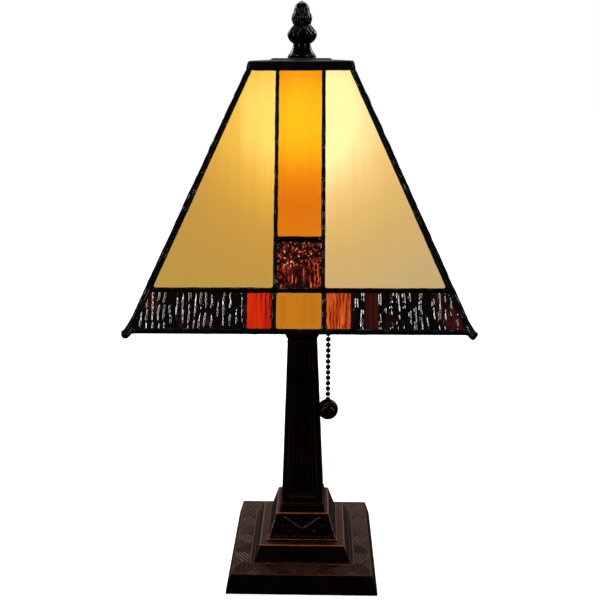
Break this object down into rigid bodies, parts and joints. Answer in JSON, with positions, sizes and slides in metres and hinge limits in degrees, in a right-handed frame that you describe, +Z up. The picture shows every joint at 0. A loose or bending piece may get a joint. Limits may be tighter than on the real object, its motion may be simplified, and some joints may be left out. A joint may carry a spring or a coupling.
{
  "type": "stained glass table lamp",
  "caption": "Table lamp with a four-sided leaded glass shade on a harp, a tapered square column on a stepped square base, and a pull-chain socket.",
  "frame": {"origin": "centre of the felt's underside, where the lamp stands on the table", "axes": "+Z up along the column, -Y the front with the pull chain, +X to the right seen from the front; the cord leaves towards +Y"},
  "size_m": [0.2104, 0.2642, 0.406],
  "materials": {
    "felt": "black felt",
    "bronze_casting": "dark bronze, satin, rubbed copper-brown on the edges",
    "black_bronze": "satin black bronze",
    "cast_iron": "rough grey",
    "plated_steel": "zinc plated",
    "brass": "polished",
    "bulb_metal": "bright",
    "black_solder": "black patina on solder, gloss highlights",
    "cream_glass": "opalescent, faint streaks along the slope",
    "amber_glass": "opalescent amber, deeper towards the rim",
    "ripple_glass": "dark red-brown ripple",
    "accent_glass": "red and orange streaky ripple",
    "tan_glass": "smooth opalescent",
    "bulb_glass": "frosted",
    "phenolic": "black phenolic",
    "paper": "fibre paper",
    "cord_plastic": "brown-black flex",
    "rubber": "matt"
  },
  "bodies": {
    "stand": {"felt_pad": "felt", "base_casting": "bronze_casting", "base_weight": "cast_iron", "base_washer": "plated_steel", "base_nut": "plated_steel", "column": "bronze_casting", "column_nut": "plated_steel", "threaded_rod": "plated_steel", "harp_saddle": "plated_steel", "harp": "plated_steel", "harp_stud": "brass", "socket_cap": "brass", "socket_shell": "brass", "socket_liner": "paper", "socket_body": "phenolic", "terminal_screws": "brass", "screw_shell": "brass", "centre_contact": "brass", "chain_guide": "brass", "power_cord": "cord_plastic", "cord_bushing": "rubber", "plug_body": "cord_plastic", "plug_blades": "brass"},
    "shade": {"shade_cap": "black_solder", "crown_ring": "black_solder", "rim_band": "black_solder", "hip_tubes": "black_solder", "solder_lattice": "black_solder", "front_cream_panes": "cream_glass", "front_amber_strip": "amber_glass", "front_ripple_square": "ripple_glass", "front_border_panes": "ripple_glass", "front_accent_panes": "accent_glass", "front_centre_pane": "tan_glass", "right_cream_panes": "cream_glass", "right_amber_strip": "amber_glass", "right_ripple_square": "ripple_glass", "right_border_panes": "ripple_glass", "right_accent_panes": "accent_glass", "right_centre_pane": "tan_glass", "back_cream_panes": "cream_glass", "back_amber_strip": "amber_glass", "back_ripple_square": "ripple_glass", "back_border_panes": "ripple_glass", "back_accent_panes": "accent_glass", "back_centre_pane": "tan_glass", "left_cream_panes": "cream_glass", "left_amber_strip": "amber_glass", "left_ripple_square": "ripple_glass", "left_border_panes": "ripple_glass", "left_accent_panes": "accent_glass", "left_centre_pane": "tan_glass"},
    "finial": {"finial": "black_bronze"},
    "bulb": {"bulb_cap": "bulb_metal", "bulb_glass": "bulb_glass"},
    "harp_locks": {"harp_sleeves": "brass"},
    "chain_pull": {"chain_connector": "black_bronze"},
    "hanging_chain": {"pull_chain": "black_bronze", "chain_ball": "black_bronze"},
    "switch_rotor": {"switch_rotor": "brass"}
  },
  "joints": [
    {"name": "shade_turn", "type": "hinge", "parent": "stand", "child": "shade", "pos_m": [0, 0, 0.3692], "axis": [0, 0, 1], "continuous": true},
    {"name": "finial_turn", "type": "hinge", "parent": "stand", "child": "finial", "pos_m": [0, 0, 0.3705], "axis": [0, 0, 1], "continuous": true},
    {"name": "bulb_turn", "type": "hinge", "parent": "stand", "child": "bulb", "pos_m": [0, 0, 0.235], "axis": [0, 0, 1], "continuous": true},
    {"name": "sleeve_lift", "type": "slide", "parent": "stand", "child": "harp_locks", "axis": [0, 0, 1], "range_m": [0, 0.007]},
    {"name": "chain_pull", "type": "slide", "parent": "stand", "child": "chain_pull", "axis": [0, 0, -1], "range_m": [0, 0.008], "stiffness_N_per_m": 250},
    {"name": "chain_swing", "type": "hinge", "parent": "chain_pull", "child": "hanging_chain", "pos_m": [0.0184, -0.02, 0.2032], "axis": [0.6771, -0.7359, 0], "range_deg": [-25, 25]},
    {"name": "rotor_turn", "type": "hinge", "parent": "stand", "child": "switch_rotor", "pos_m": [0, 0, 0.213], "axis": [0.7359, 0.6771, 0], "range_deg": [0, 90]}
  ],
  "couplings": [
    {"joint": "rotor_turn", "follows": "chain_pull", "rad_per_m": 196.35}
  ]
}
